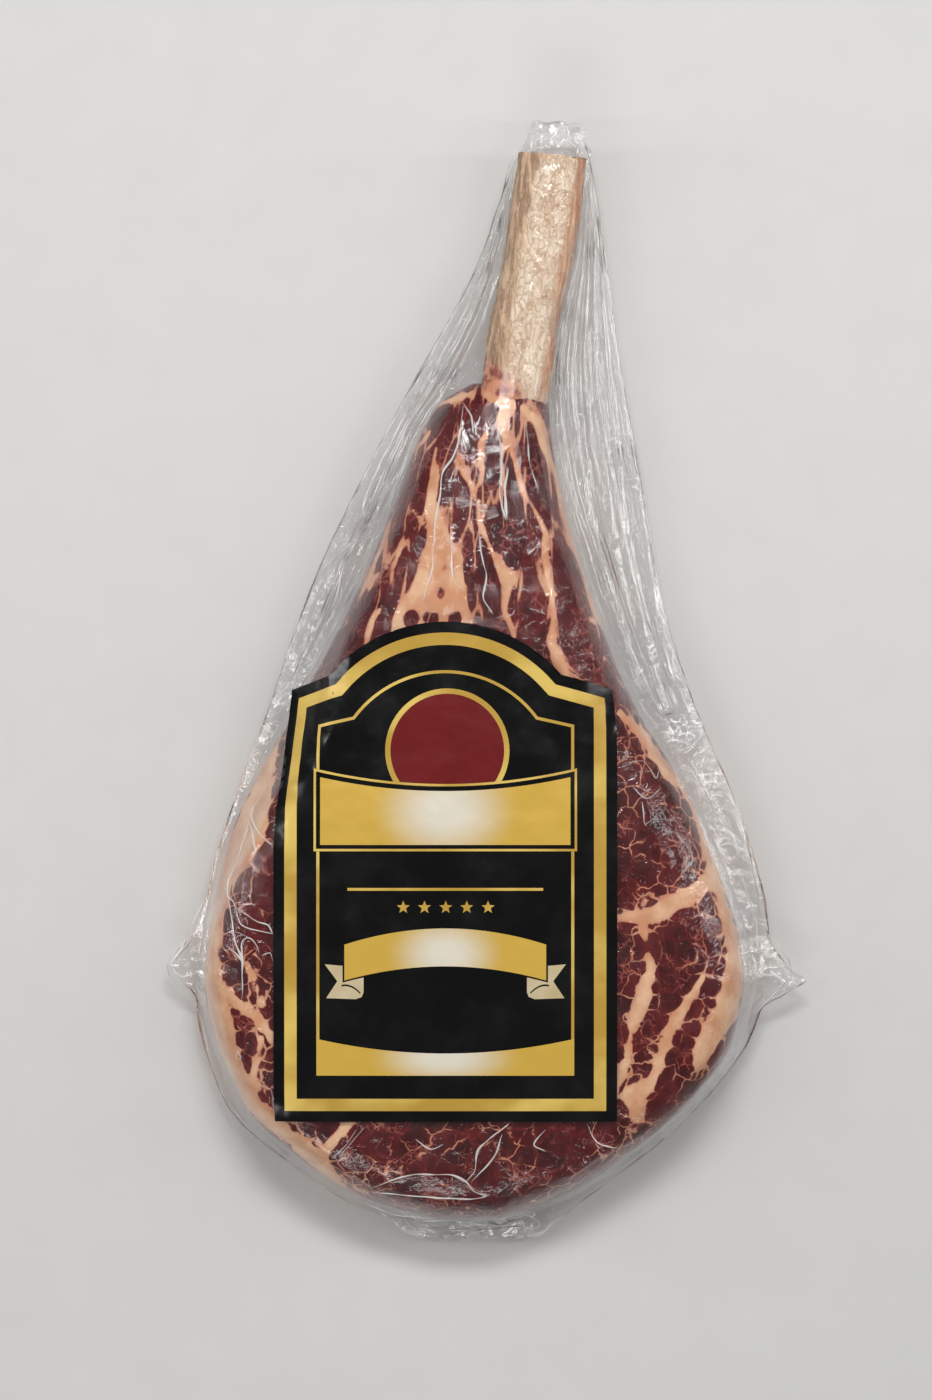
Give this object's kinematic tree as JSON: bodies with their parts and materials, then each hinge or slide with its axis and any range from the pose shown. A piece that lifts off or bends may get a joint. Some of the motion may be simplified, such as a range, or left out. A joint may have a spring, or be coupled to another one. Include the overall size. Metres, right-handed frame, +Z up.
{
  "type": "packed beef rib roast",
  "caption": "Thick bone-in rib roast with its long bare rib bone, sealed in clear film with a large arched label, lying on its back.",
  "frame": {"origin": "centre of the bag's footprint, on the surface it lies on", "axes": "+X to the right of the label's front, +Y along the length towards the end of the bone, +Z up out of the label's front"},
  "size_m": [0.2572, 0.4472, 0.0486],
  "materials": {
    "sealed_meat": "glossy clear film over red meat",
    "label_print": "glossy black print with gold bands"
  },
  "bodies": {
    "root": {"bag": "sealed_meat", "label": "label_print"}
  },
  "joints": []
}
